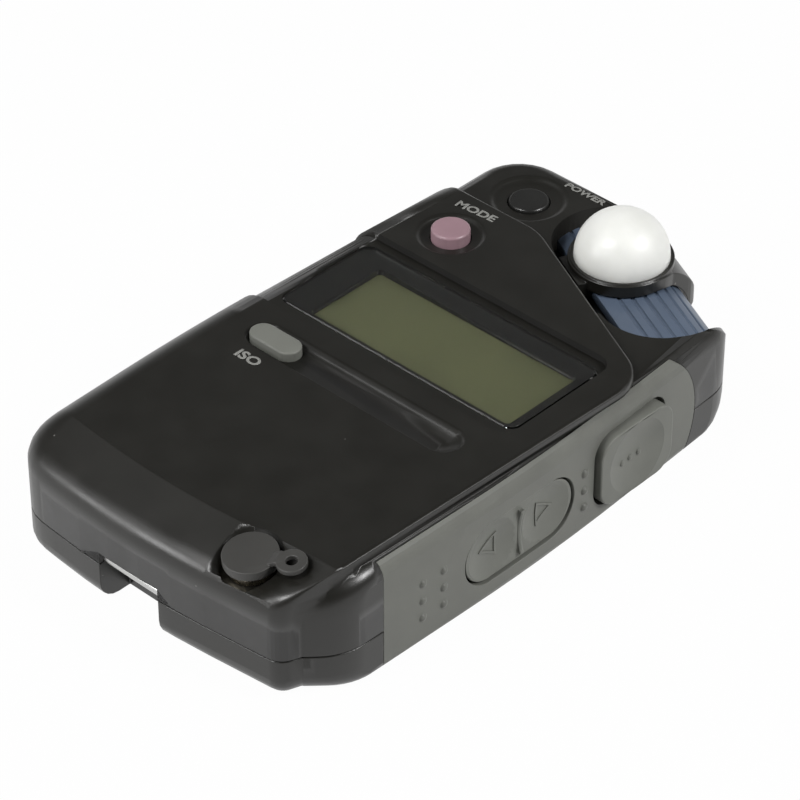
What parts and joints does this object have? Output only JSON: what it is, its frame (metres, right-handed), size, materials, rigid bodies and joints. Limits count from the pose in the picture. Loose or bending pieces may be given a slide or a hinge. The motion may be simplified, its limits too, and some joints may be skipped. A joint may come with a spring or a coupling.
{
  "type": "handheld light meter",
  "caption": "Pocket light meter with a sliding white dome, a display window, face keys, side keys, a flash socket and a battery bay.",
  "frame": {"origin": "middle of the flat back", "axes": "+X to the right of the face, +Y towards the dome, +Z out of the face"},
  "size_m": [0.0635, 0.1097, 0.0273],
  "materials": {
    "shell_black": "fine satin moulding",
    "grip_grey": "matt",
    "window_clear": "polished",
    "display_olive": "polished",
    "holder_black": "matt",
    "strip_rubber": "matt",
    "board_green": "solder mask",
    "chip_black": "matt",
    "steel": "brushed",
    "nickel": "plated",
    "key_black": "satin",
    "key_pink": "satin",
    "key_grey": "matt",
    "switch_grey": "matt",
    "track_blue": "satin",
    "dome_white": "satin translucent",
    "lens_clear": "polished",
    "sensor_dark": "polished",
    "socket_brass": "nickel over brass",
    "insulator_cream": "matt",
    "cap_rubber": "matt",
    "cell_label": "printed sleeve"
  },
  "bodies": {
    "meter": {"front_shell": "shell_black", "rear_shell": "shell_black", "side_grip": "grip_grey", "display_window": "window_clear", "lcd_panel": "display_olive", "lcd_holder": "holder_black", "contact_strips": "strip_rubber", "main_board": "board_green", "board_chips": "chip_black", "board_screws": "steel", "face_switches": "switch_grey", "rocker_pin": "steel", "side_board": "board_green", "side_switches": "switch_grey", "slide_track": "track_blue", "receptor_lens": "lens_clear", "receptor_tube": "holder_black", "photo_sensor": "sensor_dark", "sync_socket": "socket_brass", "sync_insulator": "insulator_cream", "sync_pin": "socket_brass", "strap_bar": "steel", "aa_cell": "cell_label", "battery_spring": "nickel", "spring_contact": "nickel", "nub_contact": "nickel", "case_screws": "steel"},
    "dome": {"dome_carriage": "shell_black", "diffuser_dome": "dome_white"},
    "power_key": {"power_button": "key_black"},
    "mode_key": {"mode_button": "key_pink"},
    "film_speed_key": {"film_speed_button": "key_grey"},
    "measure_key": {"measure_button": "key_grey"},
    "rocker": {"up_down_rocker": "key_grey"},
    "socket_cap": {"sync_cap": "cap_rubber"},
    "battery_cover": {"battery_door": "shell_black"}
  },
  "joints": [
    {"name": "dome_slide", "type": "slide", "parent": "meter", "child": "dome", "axis": [0.8988, -0.4384, 0], "range_m": [-0.0015, 0.0125]},
    {"name": "power_press", "type": "slide", "parent": "meter", "child": "power_key", "axis": [0, 0, -1], "range_m": [0, 0.0004], "stiffness_N_per_m": 1500, "springref_m": -0.0002},
    {"name": "mode_press", "type": "slide", "parent": "meter", "child": "mode_key", "axis": [0, 0, -1], "range_m": [0, 0.0004], "stiffness_N_per_m": 1500, "springref_m": -0.0002},
    {"name": "film_speed_press", "type": "slide", "parent": "meter", "child": "film_speed_key", "axis": [0, 0, -1], "range_m": [0, 0.0004], "stiffness_N_per_m": 1500, "springref_m": -0.0002},
    {"name": "measure_press", "type": "slide", "parent": "meter", "child": "measure_key", "axis": [-1, 0, 0], "range_m": [0, 0.0006], "stiffness_N_per_m": 1500, "springref_m": -0.0002},
    {"name": "rocker_tilt", "type": "hinge", "parent": "meter", "child": "rocker", "pos_m": [0.0282, -0.0083, 0.0091], "axis": [0, 0, 1], "range_deg": [-3, 3], "stiffness_Nm_per_rad": 0.15},
    {"name": "cap_pull", "type": "slide", "parent": "meter", "child": "socket_cap", "axis": [0, -0.1392, 0.9903], "range_m": [0, 0.012]},
    {"name": "door_slide", "type": "slide", "parent": "meter", "child": "battery_cover", "axis": [-1, 0, 0], "range_m": [0, 0.058]}
  ]
}
